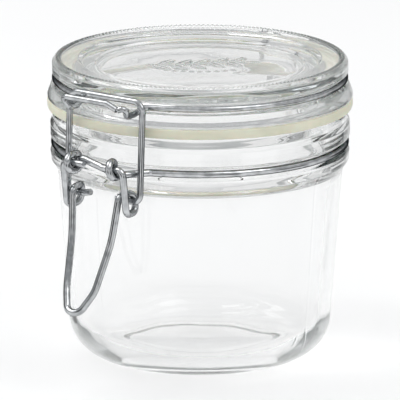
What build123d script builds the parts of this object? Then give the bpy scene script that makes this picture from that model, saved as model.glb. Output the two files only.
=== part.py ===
from build123d import *
import os
from math import cos, radians, sin, tan

# Lidded glass canister with a wire clamp.
# Millimetres. The origin is on the jar's axis, on the table plane under the base.
# +Z is up, the clamp is at the front (-Y), the lid's hinge at the back (+Y),
# and every hinge axis runs along X.

# ---- glass jar ---------------------------------------------------------------
BODY_R_LOW = 43.2        # body radius just above the rounded heel
BODY_R_MID = 44.5        # body radius a third of the way up
BODY_R_TOP = 46.6        # body radius just under the neck band
BAND_R = 49.0            # neck band
BAND_Z0 = 66.0           # lower edge of the neck band
WALL = 3.6               # glass thickness of the body
FLOOR_T = 4.5            # glass thickness of the bottom
MOUTH_R = 41.0           # inner radius of the mouth
RIM_Z = 83.0             # flat sealing rim
HEEL_R = 13.0            # rounded heel under the body
FOOT_R0 = 26.0           # contact ring, inner radius
FOOT_R1 = 29.0           # contact ring, outer radius

# ---- wires -------------------------------------------------------------------
NECK_WIRE = 2.4          # diameter of the neck wire
LID_WIRE = 2.0           # diameter of the lid wire
BAIL_WIRE = 2.1          # diameter of the bail
LEVER_WIRE = 2.3         # diameter of the lever
RUN = 0.10               # radial clearance of every wire eye on its pin

NECK_Z = 71.2            # plane of the neck wire
NECK_RC = 47.6           # centreline radius of the neck wire
LIDW_Z = 92.6            # plane of the lid wire
LIDW_RC = 47.45          # centreline radius of the lid wire

# ---- gasket and lid ----------------------------------------------------------
SEAL_GAP = 0.10          # air left above and below the gasket
GASKET_T = 3.1           # gasket thickness
GASKET_R0 = 41.6         # gasket inner radius
GASKET_R1 = 50.0         # gasket outer radius
LID_R_LOW = 49.9         # lower flange of the lid
LID_R_TOP = 48.4         # upper flange of the lid
LID_TOP_Z = 99.5         # highest glass of the lid
PLUG_R = 40.3            # plug that drops into the mouth
PLUG_Z = 76.5            # lower end of the plug
DISH_R = 39.5            # shallow dish in the lid's top
DISH_Z = 96.8            # floor of the dish
LID_T = 4.4              # glass thickness of the dish floor

# ---- clamp -------------------------------------------------------------------
P1 = (-57.2, 73.5)       # lever pivot in the neck wire's two front eyes: y, z
P2 = (-51.6, 62.4)       # bail pivot in the lever's two eyes: y, z
EYE_X = 7.8              # middle of each front eye along X
LEVER_X = 12.0           # centreline of the lever's drop links
BAIL_X = 14.7            # centreline of the bail's uprights
BAR = (-50.0, 95.1)      # the bail's top bar: y, z
TIP = (-70.8, 22.2)      # where the lever's two handle arms would meet: y, z

# ---- rear hinge --------------------------------------------------------------
HINGE = (54.6, 80.6)     # lid hinge axis: y, z
CRANK_X = 10.5           # the lid wire's hinge crank, half width
POST_X = 6.6             # the neck wire's two rear posts along X

os.makedirs("parts", exist_ok=True)


def save(shape, node):
    """Write one node's solid to its STEP file."""
    solids = shape.solids()
    solid = solids[0]
    solid.label = node
    export_step(solid, "parts/" + node + ".step")
    print(node, "solids", len(solids), "volume", round(solid.volume, 1))


def lathe(points, fillets):
    """Turn a closed outline of (radius, z) about Z, then round some corners.

    fillets maps a corner's place in the outline to its radius.
    """
    outline = Polyline(*[(r, 0, z) for r, z in points], close=True)
    solid = revolve(make_face(outline), axis=Axis.Z)
    for index, size in fillets.items():
        radius, z = points[index]
        ring = [
            edge for edge in solid.edges().filter_by(GeomType.CIRCLE)
            if abs(edge.radius - radius) < 1e-3 and abs(edge.arc_center.Z - z) < 1e-3
        ]
        solid = fillet(ring, size)
    return solid


def bent(points, radii):
    """Edges of a wire bent through 3-D points; radii holds one bend radius per inner point."""
    edges = []
    start = Vector(*points[0])
    for before, corner, after, radius in zip(points, points[1:], points[2:], radii):
        b = Vector(*corner)
        u = (Vector(*before) - b).normalized()
        v = (Vector(*after) - b).normalized()
        half = radians(u.get_angle(v) / 2)
        inward = (u + v).normalized()
        p = b + u * (radius / tan(half))
        q = b + v * (radius / tan(half))
        middle = b + inward * (radius / sin(half) - radius)
        if (p - start).length > 1e-4:
            edges.append(Edge.make_line(start, p))
        edges.append(Edge.make_three_point_arc(p, middle, q))
        start = q
    edges.append(Edge.make_line(start, Vector(*points[-1])))
    return edges


def mirrored(points):
    """The same points on the other side of the clamp, in the opposite order."""
    return [(-x, y, z) for x, y, z in reversed(points)]


def ring_point(radius, z, angle):
    """A point on a ring; the angle is measured from the front (-Y) towards +X."""
    a = radians(angle)
    return (radius * sin(a), -radius * cos(a), z)


def off_ring(radius, z, angle, length):
    """A point reached by leaving the ring straight ahead; negative length goes backwards."""
    x, y, _ = ring_point(radius, z, angle)
    a = radians(angle)
    return (x + length * cos(a), y + length * sin(a), z)


def ring_arc(radius, z, angle0, angle1):
    """The part of a ring between two angles, as one arc."""
    middle = (angle0 + angle1) / 2
    return Edge.make_three_point_arc(
        Vector(*ring_point(radius, z, angle0)),
        Vector(*ring_point(radius, z, middle)),
        Vector(*ring_point(radius, z, angle1)),
    )


def draw_wire(edges, diameter):
    """Sweep a round wire along a chain of edges."""
    path = Wire(edges)
    start = Plane(origin=path @ 0, z_dir=path % 0)
    return sweep(start * Circle(diameter / 2), path=path)


def make_jar():
    """The jar: rounded heel, slightly flared body, neck band with a groove, flat rim."""
    groove = NECK_RC - NECK_WIRE / 2 - 0.15
    half = NECK_WIRE / 2 + 0.25
    outline = [
        (0, 1.2),
        (FOOT_R0 - 2, 1.2),
        (FOOT_R0, 0),
        (FOOT_R1, 0),
        (BODY_R_LOW - 0.2, 0.1),
        (BODY_R_LOW, 16),
        (BODY_R_MID, 31),
        (BODY_R_TOP, 61),
        (BODY_R_TOP + 0.2, 63),
        (BAND_R - 0.2, BAND_Z0),
        (BAND_R, NECK_Z - half - 0.9),
        (groove, NECK_Z - half),
        (groove, NECK_Z + half),
        (BAND_R, NECK_Z + half + 0.9),
        (BAND_R, 78.2),
        (48.3, 79.6),
        (48.3, RIM_Z),
        (MOUTH_R, RIM_Z),
        (MOUTH_R, 71.0),
        (BODY_R_TOP - WALL, 64),
        (BODY_R_MID - WALL, 31),
        (BODY_R_LOW - WALL, FLOOR_T + 0.6),
        (26, FLOOR_T),
        (0, FLOOR_T + 0.6),
    ]
    rounds = {
        2: 1.2, 4: HEEL_R, 9: 1.2, 10: 0.8, 13: 0.8,
        14: 0.7, 16: 0.7, 17: 1.2, 21: 10.5,
    }
    return lathe(outline, rounds)


def make_lid():
    """The lid: dished top, grooved edge for its wire, flange and plug."""
    groove = LIDW_RC - LID_WIRE / 2 - 0.15
    half = LID_WIRE / 2 + 0.2
    under = RIM_Z + 2 * SEAL_GAP + GASKET_T
    outline = [
        (0, DISH_Z),
        (DISH_R - 4, DISH_Z),
        (DISH_R, LID_TOP_Z),
        (LID_R_TOP, LID_TOP_Z),
        (LID_R_TOP, LIDW_Z + half + 0.8),
        (groove, LIDW_Z + half),
        (groove, LIDW_Z - half),
        (48.8, LIDW_Z - half - 0.8),
        (LID_R_LOW, under + 1.2),
        (LID_R_LOW, under),
        (PLUG_R + 0.5, under),
        (PLUG_R, under - 1.5),
        (PLUG_R - 0.3, PLUG_Z),
        (PLUG_R - 4.2, PLUG_Z),
        (PLUG_R - 5.2, DISH_Z - LID_T),
        (0, DISH_Z - LID_T),
    ]
    rounds = {1: 2.0, 2: 1.0, 3: 1.7, 4: 0.5, 7: 0.5, 9: 0.4, 12: 1.2, 13: 1.2, 14: 3.0}
    return lathe(outline, rounds)


def make_gasket():
    """The flat rubber ring between rim and lid."""
    z0 = RIM_Z + SEAL_GAP
    z1 = z0 + GASKET_T
    outline = [(GASKET_R0, z0), (GASKET_R1, z0), (GASKET_R1, z1), (GASKET_R0, z1)]
    return lathe(outline, {1: 0.5, 2: 0.5})


def make_neck_wire():
    """The wire round the neck: two eyes for the lever in front, two hinge eyes behind."""
    r = LEVER_WIRE / 2 + RUN + NECK_WIRE / 2
    y, z = P1
    to_ring = off_ring(NECK_RC, NECK_Z, 22.5, -4.5)
    right_eye = [
        (EYE_X - 1.4, y + r, z - 1.75),
        (EYE_X - 0.7, y + r, z + r),
        (EYE_X + 0.2, y - r, z + r),
        (EYE_X + 1.2, y - r, z - r),
        (EYE_X + 1.5, y + 3.8, NECK_Z),
    ]
    right_bends = [1.7, r - 0.02, r - 0.02, r - 0.02, 3.0]
    left_eye = [
        (-EYE_X - 4.5, y + 8.2, NECK_Z + 0.2),
        (-EYE_X - 1.5, y + 4.2, z + r - 0.3),
        (-EYE_X - 1.2, y - r, z + r),
        (-EYE_X - 0.3, y - r, z - r),
        (-EYE_X + 0.6, y + r, z - r),
        (-EYE_X + 1.3, y + r, z + 1.35),
    ]
    left_bends = [3.0, 3.0, r - 0.02, r - 0.02, r - 0.02, 1.3]
    front = [ring_point(NECK_RC, NECK_Z, -22.5), (-to_ring[0], to_ring[1], NECK_Z)]
    front += left_eye + right_eye + [to_ring, ring_point(NECK_RC, NECK_Z, 22.5)]
    front_bends = [3.5] + left_bends + right_bends + [3.5]
    r = LID_WIRE / 2 + RUN + NECK_WIRE / 2
    y, z = HINGE
    rear = [
        ring_point(NECK_RC, NECK_Z, 168),
        off_ring(NECK_RC, NECK_Z, 168, 3.2),
        (POST_X, y - r, NECK_Z),
        (POST_X - 0.6, y - r, z + r),
        (POST_X - 1.4, y + r, z + r),
        (POST_X - 2.2, y + r, z - r),
        (POST_X - 2.8, y - 0.6, z - r),
    ]
    rear_bends = [2.2, 2.8, r - 0.02, r - 0.02, r - 0.02]
    edges = bent(mirrored(rear), list(reversed(rear_bends)))
    edges.append(ring_arc(NECK_RC, NECK_Z, -168, -22.5))
    edges += bent(front, front_bends)
    edges.append(ring_arc(NECK_RC, NECK_Z, 22.5, 168))
    edges += bent(rear, rear_bends)
    return draw_wire(edges, NECK_WIRE)


def make_lid_wire():
    """The wire round the lid: catch bow in front, hinge crank behind."""
    y, z = HINGE
    tangent = off_ring(LIDW_RC, LIDW_Z, 20, -4.0)
    seam_x = 10.1
    right = [
        (seam_x + 0.2, -57.3, 93.4),
        (13.2, -57.0, 95.0),
        (11.5, -54.3, 90.9),
        (11.5, -50.6, 90.9),
        tangent,
        ring_point(LIDW_RC, LIDW_Z, 20),
    ]
    left = [
        ring_point(LIDW_RC, LIDW_Z, -20),
        (-tangent[0], tangent[1], tangent[2]),
        (-11.5, -50.6, 90.9),
        (-11.5, -54.3, 90.9),
        (-13.2, -57.0, 94.9),
        (5.6, -57.3, 95.0),
        (seam_x - 0.2, -57.3, 93.4),
    ]
    rear = [
        ring_point(LIDW_RC, LIDW_Z, 165),
        off_ring(LIDW_RC, LIDW_Z, 165, 2.6),
        (CRANK_X, y - 0.6, LIDW_Z),
        (CRANK_X, y, z),
    ]
    crank = rear + mirrored(rear)
    bends = [1.8, 2.4, 2.0]
    edges = bent(right, [1.4, 1.5, 2.5, 3.0])
    edges.append(ring_arc(LIDW_RC, LIDW_Z, 20, 165))
    edges += bent(crank, bends + list(reversed(bends)))
    edges.append(ring_arc(LIDW_RC, LIDW_Z, -165, -20))
    edges += bent(left, [3.0, 2.5, 1.5, 1.9, 2.5])
    return draw_wire(edges, LID_WIRE)


def make_lever():
    """The lever: pivot stubs, drop links, eyes for the bail, V-shaped handle."""
    r = BAIL_WIRE / 2 + RUN + LEVER_WIRE / 2
    y, z = P2
    half = [
        (3.7, P1[0], P1[1]),
        (LEVER_X, P1[0], P1[1]),
        (LEVER_X, -55.2, 58.6),
        (LEVER_X - 0.7, y + r, 58.6),
        (LEVER_X - 1.5, y + r, z + r),
        (LEVER_X - 2.6, y - r - 1.8, z + r),
        (8.0, -58.0, 49.5),
        (5.7, -63.9, 33.8),
        (0, TIP[0], TIP[1]),
    ]
    bends = [2.0, 2.3, 2.3, r - 0.02, 2.4, 40.0, 14.0]
    points = half + mirrored(half[:-1])
    return draw_wire(bent(points, bends + [3.6] + list(reversed(bends))), LEVER_WIRE)


def make_bail():
    """The bail: two pins through the lever's eyes, two uprights, the locking top bar."""
    half = [
        (5.2, P2[0], P2[1] + 0.7),
        (8.3, P2[0], P2[1]),
        (BAIL_X, P2[0], P2[1]),
        (BAIL_X, BAR[0], BAR[1]),
    ]
    points = half + mirrored(half)
    return draw_wire(bent(points, [3.0, 2.6, 3.5, 3.5, 2.6, 3.0]), BAIL_WIRE)


save(make_jar(), "glass_jar")
save(make_lid(), "glass_lid")
save(make_gasket(), "gasket")
save(make_neck_wire(), "neck_wire")
save(make_lid_wire(), "lid_wire")
save(make_lever(), "lever")
save(make_bail(), "bail")
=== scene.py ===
# %% [markdown]
# # A lidded glass canister
# A squat pressed-glass jar, a hinged glass lid, an ivory rubber ring between them and three bent
# wires that clamp the lid down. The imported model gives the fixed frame: every piece here sits
# where that model says and rides on one of its bodies, so the lid and the clamp still move.

# %% Load the frame
import math

import bpy
import numpy as np
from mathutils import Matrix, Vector


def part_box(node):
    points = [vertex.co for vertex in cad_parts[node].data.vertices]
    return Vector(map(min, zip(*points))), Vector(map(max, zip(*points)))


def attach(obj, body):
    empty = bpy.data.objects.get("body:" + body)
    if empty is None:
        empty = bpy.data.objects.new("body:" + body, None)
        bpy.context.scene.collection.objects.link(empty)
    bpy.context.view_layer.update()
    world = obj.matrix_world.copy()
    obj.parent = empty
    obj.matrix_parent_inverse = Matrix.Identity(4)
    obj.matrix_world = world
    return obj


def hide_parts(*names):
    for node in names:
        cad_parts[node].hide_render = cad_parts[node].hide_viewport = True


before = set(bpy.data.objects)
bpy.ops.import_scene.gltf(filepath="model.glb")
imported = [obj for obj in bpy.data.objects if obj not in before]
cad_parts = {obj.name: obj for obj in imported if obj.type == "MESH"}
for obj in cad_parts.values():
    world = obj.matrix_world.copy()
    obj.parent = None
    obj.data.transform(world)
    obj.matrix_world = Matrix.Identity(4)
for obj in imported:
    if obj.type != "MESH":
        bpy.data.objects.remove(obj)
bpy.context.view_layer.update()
MM = 0.001

# %% [markdown]
# ## Where the glass stands
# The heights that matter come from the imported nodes: the foot, the jar's rim, the two faces of the
# rubber ring and the lid's top. All outlines below are in millimetres, as a glassmaker's mould
# drawing would be, and are tied to these heights.

# %% Read the key heights and radii
def height_of(node):
    """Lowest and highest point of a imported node, in millimetres."""
    low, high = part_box(node)
    return low.z / MM, high.z / MM


FOOT_Z, RIM_Z = height_of("glass_jar")
PLUG_Z, LID_TOP_Z = height_of("glass_lid")
RING_LOW_Z, RING_HIGH_Z = height_of("gasket")
BAND_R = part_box("glass_jar")[1].x / MM
FLANGE_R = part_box("glass_lid")[1].x / MM
RING_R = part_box("gasket")[1].x / MM
print(f"jar {FOOT_Z:.1f} to {RIM_Z:.1f} mm, lid {PLUG_Z:.1f} to {LID_TOP_Z:.1f} mm")
print(f"band radius {BAND_R:.1f} mm")

# %% [markdown]
# ## Two small tools for materials
# Colours are easiest to pick as the hex values of a paint chart, but Blender mixes light in linear
# numbers, so one function turns one into the other. A second one adds a node, sets its sockets
# and wires it up in one line, which keeps each material short enough to read at a glance.

# %% Colour and node helpers
def linear(hex_colour):
    """An sRGB hex value as linear red, green, blue and alpha."""
    parts = [int(hex_colour[i:i + 2], 16) / 255 for i in (1, 3, 5)]
    return [c / 12.92 if c <= 0.04045 else ((c + 0.055) / 1.055) ** 2.4 for c in parts] + [1.0]


def add(tree, kind, settings=None, links=None, **attributes):
    """A node of this kind, with socket values from settings and links {socket: (node, output)}."""
    node = tree.nodes.new(kind)
    for name, value in attributes.items():
        setattr(node, name, value)
    for socket, value in (settings or {}).items():
        node.inputs[socket].default_value = value
    for socket, (source, output) in (links or {}).items():
        tree.links.new(source.outputs[output], node.inputs[socket])
    return node


def blank_material(name):
    """A new material with nothing in it but its output node."""
    material = bpy.data.materials.new(name)
    material.use_nodes = True
    material.node_tree.nodes.clear()
    return material, add(material.node_tree, "ShaderNodeOutputMaterial")


print("#808080 is", [round(c, 3) for c in linear("#808080")[:3]], "in linear light")

# %% [markdown]
# ## The glass
# The real thing is soda-lime glass, pressed and blown in an iron mould and then fire-polished:
# flames melt the skin smooth. That gives the eye a clear body with a sharp gloss, a faint roll
# in the surface where the mould was cold, and a grey-green tint that only shows where the light
# runs a long way through it, in the heel and the edges. A tinted surface colour would darken thin
# and thick glass alike, so the tint is put in the volume instead, and the roll is a gentle bump.

# %% Make the glass
GLASS_IOR = 1.52              # soda-lime glass
MOULD_ROLL_MM = 14.0          # width of the soft waves that a cold mould leaves
HANDLING_MM = 22.0            # width of the faint patches that hands leave


def pressed_glass(name, roll_height_mm):
    material, output = blank_material(name)
    tree = material.node_tree
    place = add(tree, "ShaderNodeTexCoord")
    roll = add(tree, "ShaderNodeTexNoise", {"Scale": 1 / (MOULD_ROLL_MM * MM), "Detail": 1.0},
               {"Vector": (place, "Object")})
    bump = add(tree, "ShaderNodeBump", {"Strength": 0.5, "Distance": roll_height_mm * MM},
               {"Height": (roll, "Fac")})
    patches = add(tree, "ShaderNodeTexNoise", {"Scale": 1 / (HANDLING_MM * MM), "Detail": 4.0},
                  {"Vector": (place, "Object")})
    haze = add(tree, "ShaderNodeMapRange", {"From Min": 0.45, "From Max": 0.8, "To Min": 0.0,
                                            "To Max": 0.03}, {"Value": (patches, "Fac")})
    skin = add(tree, "ShaderNodeBsdfPrincipled",
               {"Base Color": linear("#FDFDFD"), "IOR": GLASS_IOR, "Transmission Weight": 1.0},
               {"Roughness": (haze, "Result"), "Normal": (bump, "Normal")})
    body = add(tree, "ShaderNodeVolumeAbsorption", {"Color": linear("#CBD0CF"), "Density": 11.0})
    tree.links.new(skin.outputs["BSDF"], output.inputs["Surface"])
    tree.links.new(body.outputs["Volume"], output.inputs["Volume"])
    return material


jar_glass = pressed_glass("fire_polished_soda_lime_glass", 0.12)
lid_glass = pressed_glass("pressed_soda_lime_glass", 0.05)
print("glass bends light by", GLASS_IOR)

# %% [markdown]
# ## Turning an outline
# The jar, the lid and the ring are all round, so each is one outline spun about the upright axis.
# Blender's Screw modifier could do that, but glass needs a true radius on every corner, because
# each corner shows as a bright or dark line, and the mould's small faults have to be pressed
# into the surface. So the outline's corners are rounded in code, its long runs are divided, and
# the rings of points are spun with a chance to push each one in or out on the way.

# %% Outline and turning tools
ARC_STEPS = 7                 # points on each rounded corner, enough for a smooth highlight


def rounded(corners):
    """Points along an outline of (radius, height, corner radius), all in millimetres."""
    points = []
    for i, (r, z, bend) in enumerate(corners):
        here = np.array([r, z], float)
        if bend == 0 or i in (0, len(corners) - 1):
            points.append(here)
            continue
        back = np.array(corners[i - 1][:2], float) - here
        ahead = np.array(corners[i + 1][:2], float) - here
        back_run, ahead_run = np.linalg.norm(back), np.linalg.norm(ahead)
        u, v = back / back_run, ahead / ahead_run
        half = math.acos(float(np.clip(u @ v, -1, 1))) / 2
        if half > math.radians(89.5):
            points.append(here)
            continue
        reach = min(bend / math.tan(half), 0.49 * back_run, 0.49 * ahead_run)
        radius = reach * math.tan(half)
        centre = here + (u + v) / np.linalg.norm(u + v) * radius / math.sin(half)
        first, last = here + u * reach - centre, here + v * reach - centre
        start = math.atan2(first[1], first[0])
        sweep = (math.atan2(last[1], last[0]) - start + math.pi) % math.tau - math.pi
        for k in range(ARC_STEPS + 1):
            angle = start + sweep * k / ARC_STEPS
            points.append(centre + radius * np.array([math.cos(angle), math.sin(angle)]))
    return np.array(points)


def arc(centre_r, centre_z, radius, first, last, steps=14):
    """Outline corners along an arc, for a bend that is longer than the runs beside it."""
    turns = np.radians(np.linspace(first, last, steps + 1))
    return [(centre_r + radius * math.cos(t), centre_z + radius * math.sin(t), 0) for t in turns]


def divided(points, step_mm):
    """The same outline with no run longer than step_mm."""
    fine = [points[0]]
    for a, b in zip(points[:-1], points[1:]):
        count = max(1, math.ceil(float(np.linalg.norm(b - a)) / step_mm))
        fine += [a + (b - a) * k / count for k in range(1, count + 1)]
    return np.array(fine)


def skin_mesh(name, points, faces, material):
    """A smooth-shaded object from points in metres and a list of faces."""
    mesh = bpy.data.meshes.new(name)
    mesh.from_pydata(points.tolist(), [], faces)
    mesh.polygons.foreach_set("use_smooth", [True] * len(mesh.polygons))
    mesh.materials.append(material)
    mesh.update()
    piece = bpy.data.objects.new(name, mesh)
    bpy.context.scene.collection.objects.link(piece)
    print(f"{name}: {len(mesh.vertices)} points, {len(mesh.polygons)} faces")
    return piece


def ring_faces(rows, around, closed=False):
    """Quads between neighbouring rings of points; closed joins the last ring to the first."""
    faces = []
    for i in range(rows if closed else rows - 1):
        low, high = i * around, (i + 1) % rows * around
        faces += [(low + j, low + (j + 1) % around, high + (j + 1) % around, high + j)
                  for j in range(around)]
    return faces


def turned(name, outline, around, material, pressed=None):
    """Spins an outline whose two ends lie on the axis. pressed(r, z, angle) may move the points."""
    area = np.sum(outline[:-1, 0] * outline[1:, 1] - outline[1:, 0] * outline[:-1, 1])
    outline = outline if area > 0 else outline[::-1]
    ends, middle = outline[[0, -1]], outline[1:-1]
    angle = np.arange(around) * math.tau / around
    r = np.repeat(middle[:, :1], around, axis=1)
    z = np.repeat(middle[:, 1:], around, axis=1)
    if pressed:
        r, z = pressed(r, z, np.repeat(angle[None], len(middle), axis=0))
    points = np.stack([r * np.cos(angle), r * np.sin(angle), z], -1).reshape(-1, 3)
    points = np.vstack([points, [0, 0, z[0].mean()], [0, 0, z[-1].mean()]]) * MM
    last = (len(middle) - 1) * around
    low_cap, high_cap = len(points) - 2, len(points) - 1
    faces = ring_faces(len(middle), around)
    faces += [(low_cap, (j + 1) % around, j) for j in range(around)]
    faces += [(high_cap, last + j, last + (j + 1) % around) for j in range(around)]
    print(f"{name}: outline of {len(outline)} points, ends at heights {ends[:, 1].round(1)} mm")
    return skin_mesh(name, points, faces, material)


def bell(x, centre, width):
    """A smooth hump, 1 at the centre and close to 0 a width away."""
    return np.exp(-((x - centre) / width) ** 2 * 3)


# %% [markdown]
# ## The jar
# The jar is moulded with a thick heel, a body that swells a little up to a step, and a heavy neck
# band with a groove for the neck wire. Three things stop it looking like a computer's glass: the
# inside was only ever touched by air, so it is wavy; the iron mould opened in two halves, so a
# fine seam runs up each side; and the foot ring is stippled so that it doesn't scratch a table.

# %% Make the jar
JAR_AROUND = 720
JAR_OUTLINE = [
    (0, 1.2, 0), (24.0, 1.2, 3.0), (26.2, FOOT_Z, 1.2), (29.0, FOOT_Z, 4.0),
    *arc(30.0, 13.1, 13.0, -90, 0), (43.2, 16.0, 30.0), (44.5, 31.0, 30.0), (46.5, 60.4, 8.0),
    (46.9, 63.0, 1.2), (48.7, 65.8, 1.2), (BAND_R, 68.85, 0.8), (46.25, 69.75, 0.4),
    (46.25, 72.65, 0.4), (BAND_R, 73.55, 0.8), (BAND_R, 78.0, 0.9), (48.3, 79.6, 0.7),
    (48.3, RIM_Z, 0.8), (41.0, RIM_Z, 1.2), (41.0, 71.5, 6.0), (42.9, 63.5, 6.0),
    (40.9, 31.0, 40.0), *arc(29.6, 15.2, 10.5, 0, -90), (26.0, 4.5, 20.0), (0, 5.1, 0)]
WAVES = [                     # waves round the wall, height in mm, start and lean per mm of height
    (5, 0.10, 0.4, 0.020), (9, 0.06, 1.9, -0.035), (16, 0.035, 4.0, 0.05), (29, 0.015, 2.2, -0.03)]
SEAM_MM = 0.09                # how proud the mould seam stands
STIPPLE_PITCH_DEG = 1.5       # one foot stipple every 0.7 mm round the foot ring
STIPPLE_MM = 0.06             # half of a stipple's height
WALL_SPLIT_Z = [0, 6, 13, 31, 63, 90]
WALL_SPLIT_R = [36, 38, 41.5, 42.6, 44.0, 43.0]    # between the inner and the outer skin


def jar_faults(r, z, angle):
    """Wavy inside wall, two mould seams outside and a stippled foot ring."""
    inside = (z > 6) & (z < RIM_Z - 3) & (r < np.interp(z, WALL_SPLIT_Z, WALL_SPLIT_R))
    wave = sum(size * np.sin(count * angle + start + lean * z)
               for count, size, start, lean in WAVES)
    fade = np.clip((z - 6) / 12, 0, 1) * np.clip((RIM_Z - 8 - z) / 8, 0, 1)
    r = r + np.where(inside, wave * fade, 0)
    outside = (r > 40) & (z > 4) & (z < 66) & ~inside
    seam = bell(np.sin(angle), 0.0, 0.012) * SEAM_MM
    r = r + np.where(outside, seam, 0)
    foot = (z < 0.12) & (r > 26.4) & (r < 29.5)
    dots = STIPPLE_MM * (1 + np.sin(angle * 360 / STIPPLE_PITCH_DEG) * np.sin(r * 5.0))
    return r, z + np.where(foot, dots, 0)


jar = turned("jar_glass", divided(rounded(JAR_OUTLINE), 1.2), JAR_AROUND, jar_glass, jar_faults)
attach(jar, "jar")
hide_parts("glass_jar")
jar.visible_shadow = False    # thin clear glass throws next to no shadow

# %% [markdown]
# ## The lid
# The lid is pressed in one stroke: a shallow dish with two moulded rings, a row of small grip
# beads near its edge, a groove for the lid wire, a flange that presses on the rubber and a plug
# that centres it in the mouth. In the middle of the dish stands a small relief, here a plain leaf
# spray. The beads and the spray are real raised glass, because only a real slope bends the light
# behind it; a bump map would catch highlights but would leave the view through it untouched.

# %% Draw the leaf spray
SPRAY_TURN = math.radians(37)   # the spray lies at this angle to the clamp
SPRAY_HALF_MM = 17.5            # half of its length
SPRAY_RISE_MM = 0.30            # how far it stands above the dish
LEAF_PAIRS = 5
BERRIES, BERRY_PITCH_MM, BERRY_R = 9, 2.7, 0.95


def leaf(x, y, root, lean, length, width):
    """Height from 0 to 1 of one pointed leaf with a sunken mid vein."""
    along = (x - root[0]) * math.cos(lean) + (y - root[1]) * math.sin(lean)
    across = (y - root[1]) * math.cos(lean) - (x - root[0]) * math.sin(lean)
    share = np.clip(along / length, 0, 1)
    half = width * np.sin(math.pi * share) ** 0.9 + 1e-6
    edge = np.clip((1 - np.abs(across) / half) / 0.4, 0, 1)
    inside = (along > 0) & (along < length)
    return np.where(inside, edge * edge * (3 - 2 * edge) * (1 - 0.7 * bell(across, 0, 0.45)), 0)


def stem_height(x):
    """Where the spray's stem runs, a slow wave across the dish."""
    return 2.2 * np.sin(x / SPRAY_HALF_MM * 2.6)


def leaf_spray(x, y):
    """Height from 0 to 1 of the whole spray: stem, paired leaves and a row of berries below."""
    u = x * math.cos(SPRAY_TURN) + y * math.sin(SPRAY_TURN)
    v = y * math.cos(SPRAY_TURN) - x * math.sin(SPRAY_TURN)
    height = bell(v - stem_height(u), 0, 0.75) * (np.abs(u) < SPRAY_HALF_MM)
    for k in range(LEAF_PAIRS):
        root_u = -SPRAY_HALF_MM * 0.86 + k * SPRAY_HALF_MM * 1.72 / LEAF_PAIRS
        for side in (-1, 1):
            start = root_u + (1.1 if side > 0 else 0.0)
            root = (start, float(stem_height(start)))
            height = np.maximum(height, leaf(u, v, root, side * 0.95, 9.6 - 0.4 * k, 2.3))
    tip = (SPRAY_HALF_MM * 0.84, float(stem_height(14.7)))
    height = np.maximum(height, leaf(u, v, tip, 0.1, 5.0, 1.5))
    for k in range(BERRIES):
        centre_u = (k - BERRIES // 2) * BERRY_PITCH_MM
        away = np.hypot(u - centre_u, v + 11.5 - 0.05 * centre_u ** 2 * 0.4)
        height = np.maximum(height, np.clip(1 - (away / BERRY_R) ** 2, 0, 1))
    return height


print("spray length", 2 * SPRAY_HALF_MM, "mm")

# %% Make the lid
LID_AROUND = 960
BEADS = 192                   # one grip bead every 1.5 mm, coarser than the real 1 mm
BEAD_R = 46.3
BEAD_MM = 0.75                # from the top of a bead to the gap beside it
EDGE_R = 48.4
DISH_Z = 96.8
LID_OUTLINE = [
    (0, DISH_Z, 0), (33.6, DISH_Z, 1.5), (34.6, DISH_Z + 0.7, 0.7), (38.6, DISH_Z + 0.9, 1.5),
    (39.8, DISH_Z + 1.9, 0.8), (45.3, LID_TOP_Z - 0.7, 0.6), (46.2, LID_TOP_Z - 0.45, 0.5),
    (47.4, LID_TOP_Z - 0.3, 0.6), (EDGE_R, LID_TOP_Z - 1.5, 1.2), (EDGE_R, 94.6, 0.6),
    (46.3, 93.8, 0.4), (46.3, 91.4, 0.4), (48.8, 90.6, 0.6), (FLANGE_R, 87.5, 2.0),
    (FLANGE_R, 86.3, 0.5), (40.8, 86.3, 0.8), (40.3, 84.8, 1.0), (40.0, PLUG_Z, 1.3),
    (36.1, PLUG_Z, 1.3), (35.1, 92.4, 3.5), (0, 92.4, 0)]


def lid_relief(r, z, angle):
    """Grip beads near the edge, the leaf spray in the dish and a wavy underside."""
    on_top = z > DISH_Z - 0.3
    bead = bell(r, BEAD_R, 1.0) * (0.5 + 0.5 * np.cos(BEADS * angle)) * on_top * (z > LID_TOP_Z - 1)
    x, y = r * np.cos(angle), r * np.sin(angle)
    spray = leaf_spray(x, y) * on_top * (r < 24)
    ripple = 0.05 * np.sin(x / 4.7 + 1.1) * np.sin(y / 5.9 + 0.4) * ((z > 90) & (z < 93) & (r < 34))
    beads = BEAD_MM * (bead - 0.15 * on_top * bell(r, BEAD_R, 1.0))
    return r, z + beads + SPRAY_RISE_MM * spray + ripple


lid_points = rounded(LID_OUTLINE)
dish = divided(lid_points[:2], 0.38)
lid_outline = np.vstack([dish, divided(lid_points[1:], 0.9)[1:]])
lid = turned("lid_glass", lid_outline, LID_AROUND, lid_glass, lid_relief)
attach(lid, "lid")
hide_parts("glass_lid")
lid.visible_shadow = False

# %% [markdown]
# ## The sealing ring
# Natural rubber with a white filler, cut flat and squeezed between the glass faces, so its free
# edges bulge a little. It is matt and slightly see-through at its lip. A torus would be too
# round and a plain washer too sharp, so the outline is a soft rectangle with bowed ends, and one
# narrow mark shows where the strip's two halves met in the mould.

# %% Make the rubber
RUBBER_GRAIN_MM = 0.7
RUBBER_CLOUD_MM = 9


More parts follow.
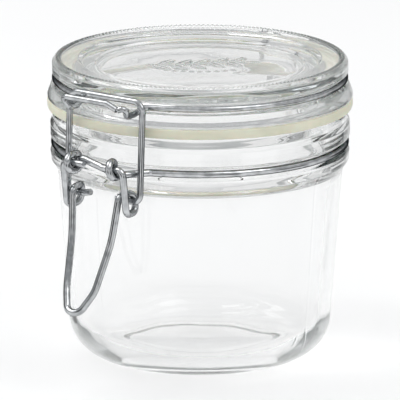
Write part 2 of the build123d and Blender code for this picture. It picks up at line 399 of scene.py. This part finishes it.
def ivory_rubber():
    material, output = blank_material("ivory_natural_rubber_moulded")
    tree = material.node_tree
    place = add(tree, "ShaderNodeTexCoord")
    clouds = add(tree, "ShaderNodeTexNoise", {"Scale": 1 / (RUBBER_CLOUD_MM * MM), "Detail": 3.0},
                 {"Vector": (place, "Object")})
    grain = add(tree, "ShaderNodeTexNoise", {"Scale": 1 / (RUBBER_GRAIN_MM * MM), "Detail": 2.0},
                {"Vector": (place, "Object")})
    tone = add(tree, "ShaderNodeValToRGB", None, {"Fac": (clouds, "Fac")})
    dark, pale = tone.color_ramp.elements
    dark.position, dark.color = 0.3, linear("#CFCEBA")
    pale.position, pale.color = 0.75, linear("#DDDCC9")
    sheen = add(tree, "ShaderNodeMapRange", {"To Min": 0.42, "To Max": 0.62},
                {"Value": (clouds, "Fac")})
    bump = add(tree, "ShaderNodeBump", {"Strength": 0.35, "Distance": 0.05 * MM},
               {"Height": (grain, "Fac")})
    skin = add(tree, "ShaderNodeBsdfPrincipled",
               {"IOR": 1.52, "Subsurface Weight": 0.25, "Subsurface Scale": 0.001},
               {"Base Color": (tone, "Color"), "Roughness": (sheen, "Result"),
                "Normal": (bump, "Normal")})
    tree.links.new(skin.outputs["BSDF"], output.inputs["Surface"])
    return material


# %% Make the ring
RING_AROUND = 480
RING_BORE_R = 41.6
RING_BOW_MM = 0.28
JOIN_AT = math.radians(-22)
ring_middle = (RING_LOW_Z + RING_HIGH_Z) / 2
ring_half = (RING_HIGH_Z - RING_LOW_Z) / 2


def ring_section(steps=9):
    """The ring's cross-section as a closed loop: flat faces and bowed free edges."""
    outer, inner = [], []
    for k in range(steps + 1):
        lift = -1 + 2 * k / steps
        bow = RING_BOW_MM * (1 - abs(lift) ** 2.6)
        outer.append((RING_R - RING_BOW_MM + bow, ring_middle + ring_half * lift))
        inner.append((RING_BORE_R + RING_BOW_MM - bow, ring_middle - ring_half * lift))
    return np.array(outer + inner)


section = ring_section()
turn_angle = np.arange(RING_AROUND) * math.tau / RING_AROUND
ring_r = np.repeat(section[:, :1], RING_AROUND, axis=1)
ring_z = np.repeat(section[:, 1:], RING_AROUND, axis=1)
join_mark = bell(np.sin((turn_angle - JOIN_AT) / 2), 0, 0.006)
ring_r = ring_r - np.where(ring_r > 49, 0.22 * join_mark, 0)
ring_points = np.stack([ring_r * np.cos(turn_angle), ring_r * np.sin(turn_angle), ring_z], -1)
ring_points = ring_points.reshape(-1, 3) * MM
rubber = ivory_rubber()
ring = skin_mesh("sealing_ring", ring_points,
                 ring_faces(len(section), RING_AROUND, closed=True), rubber)
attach(ring, "lid")
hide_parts("gasket")

# %% [markdown]
# ## The wires
# Neck wire, lid wire, lever and bail are round steel wire, drawn bright through a die and bent on
# pegs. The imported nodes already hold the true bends, so they stay as they are and only get a
# finish. Drawing leaves a mirror with a trace of lengthwise lines and a little bench wear: low
# roughness, broken up by fine streaks, and an edge tint, because steel seen at a flat angle
# sends back darker light than polished silver would.

# %% Make the wire finish
DIE_LINE_MM = 0.35            # drawn coarser than the real lines, which are too fine to show
BENCH_WEAR_MM = 2.5


def drawn_steel(name, base, tint):
    material, output = blank_material(name)
    tree = material.node_tree
    place = add(tree, "ShaderNodeTexCoord")
    lines = add(tree, "ShaderNodeTexNoise", {"Scale": 1 / (DIE_LINE_MM * MM), "Detail": 2.0},
                {"Vector": (place, "Object")})
    wear = add(tree, "ShaderNodeTexNoise", {"Scale": 1 / (BENCH_WEAR_MM * MM), "Detail": 4.0},
               {"Vector": (place, "Object")})
    dull = add(tree, "ShaderNodeMapRange",
               {"From Min": 0.35, "From Max": 0.75, "To Min": 0.06, "To Max": 0.2},
               {"Value": (wear, "Fac")})
    tone = add(tree, "ShaderNodeValToRGB", None, {"Fac": (wear, "Fac")})
    clean, worn = tone.color_ramp.elements
    clean.position, clean.color = 0.35, linear(base)
    worn.position, worn.color = 0.8, linear(tint)
    bump = add(tree, "ShaderNodeBump", {"Strength": 0.12, "Distance": 0.02 * MM},
               {"Height": (lines, "Fac")})
    skin = add(tree, "ShaderNodeBsdfPrincipled",
               {"Metallic": 1.0, "Specular Tint": linear("#1C1D1F")},
               {"Base Color": (tone, "Color"), "Roughness": (dull, "Result"),
                "Normal": (bump, "Normal")})
    tree.links.new(skin.outputs["BSDF"], output.inputs["Surface"])
    return material


bright_wire = drawn_steel("bright_drawn_steel_wire", "#CBCDCF", "#909395")
for node_name in ("neck_wire", "lid_wire", "lever", "bail"):
    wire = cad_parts[node_name]
    wire.data.materials.clear()
    wire.data.materials.append(bright_wire)
    print(node_name, "keeps its packed shape,", len(wire.data.polygons), "faces")

# %% [markdown]
# ## Floor and light
# Glass shows by what is behind and beside it. A pale floor and a pale sky close to the horizon
# fill the body with light, and a darker belt higher up gives the rims and the wires their grey
# lines, as the gaps of a photographer's light tent do. Two broad panels add the soft gloss. Small
# lamps would only make noise in glass, so all of the light is broad.

# %% Make the floor
FLOOR_HALF_M = 3.0
FLOOR_CELLS = 24


def pale_floor():
    material, output = blank_material("matt_white_tabletop")
    tree = material.node_tree
    place = add(tree, "ShaderNodeTexCoord")
    mottle = add(tree, "ShaderNodeTexNoise", {"Scale": 6.0, "Detail": 2.0},
                 {"Vector": (place, "Object")})
    tone = add(tree, "ShaderNodeValToRGB", None, {"Fac": (mottle, "Fac")})
    tone.color_ramp.elements[0].color = linear("#F3F3F3")
    tone.color_ramp.elements[1].color = linear("#F8F8F8")
    skin = add(tree, "ShaderNodeBsdfPrincipled", {"Roughness": 0.9, "Specular IOR Level": 0.1},
               {"Base Color": (tone, "Color")})
    tree.links.new(skin.outputs["BSDF"], output.inputs["Surface"])
    return material


steps = np.linspace(-FLOOR_HALF_M, FLOOR_HALF_M, FLOOR_CELLS + 1)
floor_points = np.array([(x, y, 0.0) for y in steps for x in steps])
row = FLOOR_CELLS + 1
floor_quads = [(j * row + i, j * row + i + 1, (j + 1) * row + i + 1, (j + 1) * row + i)
               for j in range(FLOOR_CELLS) for i in range(FLOOR_CELLS)]
floor = skin_mesh("floor", floor_points, floor_quads, pale_floor())
floor.location.z = FOOT_Z * MM - 0.0002

# %% Make the sky and the panels
SKY_BELTS = [(0.48, "#FFFFFF"), (0.60, "#FFFFFF"), (0.67, "#B2B5B7"), (0.74, "#C4C6C8"),
             (0.82, "#FFFFFF"), (1.0, "#F4F5F6")]
TENT_STRENGTH = 0.86


def tent_sky():
    """A sky that changes only with height: bright low down, a grey belt, bright on top."""
    world = bpy.data.worlds.new("light_tent")
    world.use_nodes = True
    tree = world.node_tree
    tree.nodes.clear()
    output = add(tree, "ShaderNodeOutputWorld")
    place = add(tree, "ShaderNodeTexCoord")
    axes = add(tree, "ShaderNodeSeparateXYZ", None, {"Vector": (place, "Generated")})
    rise = add(tree, "ShaderNodeMapRange", {"From Min": -1.0, "From Max": 1.0},
               {"Value": (axes, "Z")})
    belts = add(tree, "ShaderNodeValToRGB", None, {"Fac": (rise, "Result")})
    stops = belts.color_ramp.elements
    while len(stops) < len(SKY_BELTS):
        stops.new(0.5)
    for stop, (where, colour) in zip(stops, SKY_BELTS):
        stop.position, stop.color = where, linear(colour)
    tent = add(tree, "ShaderNodeBackground", {"Strength": TENT_STRENGTH},
               {"Color": (belts, "Color")})
    plain = add(tree, "ShaderNodeBackground", {"Color": linear("#FFFFFF"), "Strength": 1.0})
    seen = add(tree, "ShaderNodeLightPath")
    both = add(tree, "ShaderNodeMixShader", None,
               {0: (seen, "Is Camera Ray"), 1: (tent, "Background"), 2: (plain, "Background")})
    tree.links.new(both.outputs["Shader"], output.inputs["Surface"])
    return world


bpy.context.scene.world = tent_sky()


FLAGS = 7                     # dark stripes, evenly spaced, so that the wires look alike all round
FLAG_RING_M, FLAG_TOP_M = 0.17, 0.10
FLAG_STEPS, FLAG_ROWS = 168, 9


def dark_flags():
    """A low ring of soft dark stripes that only reflections see, for dark lines along the wires."""
    points, faces, shades = [], [], []
    for row_up in range(FLAG_ROWS):
        rise = row_up / (FLAG_ROWS - 1)
        for j in range(FLAG_STEPS):
            turn = math.tau * j / FLAG_STEPS
            points.append((FLAG_RING_M * math.cos(turn), FLAG_RING_M * math.sin(turn),
                           FLAG_TOP_M * rise))
            stripe = min(1, max(0, 0.55 + 2.2 * math.sin(FLAGS * turn)))
            shades.append(stripe * math.sin(math.pi * rise) ** 2)
    faces = ring_faces(FLAG_ROWS, FLAG_STEPS)
    material, output = blank_material("black_felt_card")
    tree = material.node_tree
    felt = add(tree, "ShaderNodeBsdfDiffuse", {"Color": linear("#101112"), "Roughness": 1.0})
    air = add(tree, "ShaderNodeBsdfTransparent")
    shade = add(tree, "ShaderNodeAttribute", attribute_name="felt")
    card = add(tree, "ShaderNodeMixShader", None,
               {0: (shade, "Fac"), 1: (air, "BSDF"), 2: (felt, "BSDF")})
    tree.links.new(card.outputs["Shader"], output.inputs["Surface"])
    flags = skin_mesh("dark_flags", np.array(points), faces, material)
    flags.data.attributes.new("felt", "FLOAT", "POINT").data.foreach_set("value", shades)
    for unseen in ("visible_camera", "visible_diffuse", "visible_transmission", "visible_shadow",
                   "visible_volume_scatter"):
        setattr(flags, unseen, False)


dark_flags()


def panel(name, place, size_m, watts):
    """A broad soft panel aimed at the middle of the canister."""
    lamp = bpy.data.lights.new(name, "AREA")
    lamp.shape = "RECTANGLE"
    lamp.size, lamp.size_y, lamp.energy = size_m[0], size_m[1], watts
    holder = bpy.data.objects.new(name, lamp)
    bpy.context.scene.collection.objects.link(holder)
    holder.location = place
    holder.rotation_mode = "QUATERNION"
    holder.rotation_quaternion = (Vector((0, 0, 0.05)) - Vector(place)).to_track_quat("-Z", "Y")
    print(name, "is", round(Vector(place).length, 2), "m away,", watts, "W")


panel("window_panel", (-0.75, -0.45, 1.45), (0.9, 1.2), 10.2)
panel("fill_panel", (0.95, -0.1, 1.35), (0.8, 1.0), 4.8)
bpy.context.scene.view_settings.view_transform = "Standard"
LIGHT_PATHS = bpy.context.scene.cycles
BOUNCES = 28                  # light crosses many skins and turns round inside the heel
for limit in ("max_bounces", "transmission_bounces", "glossy_bounces"):
    setattr(LIGHT_PATHS, limit, BOUNCES)

# %% [markdown]
# ## The camera
# A product shot is taken from far off with a long lens, which keeps the jar's sides upright and
# its ellipses calm. The camera stands two and a half metres away, to the right of the clamp and
# a little above the lid.

# %% Place the camera
LOOK_AZIMUTH, LOOK_ELEVATION = math.radians(37), math.radians(14)
CAMERA_DISTANCE_M = 2.5
LENS_MM = 686.0
LOOK_AT = Vector((0, 0, 0.0509))
away = Vector((math.sin(LOOK_AZIMUTH) * math.cos(LOOK_ELEVATION),
               -math.cos(LOOK_AZIMUTH) * math.cos(LOOK_ELEVATION), math.sin(LOOK_ELEVATION)))
lens = bpy.data.cameras.new("long_lens")
lens.lens, lens.sensor_width = LENS_MM, 36.0
camera = bpy.data.objects.new("camera", lens)
bpy.context.scene.collection.objects.link(camera)
camera.location = LOOK_AT + away * CAMERA_DISTANCE_M
camera.rotation_mode = "QUATERNION"
camera.rotation_quaternion = (-away).to_track_quat("-Z", "Y")
bpy.context.scene.camera = camera
print("camera at", [round(c, 3) for c in camera.location])
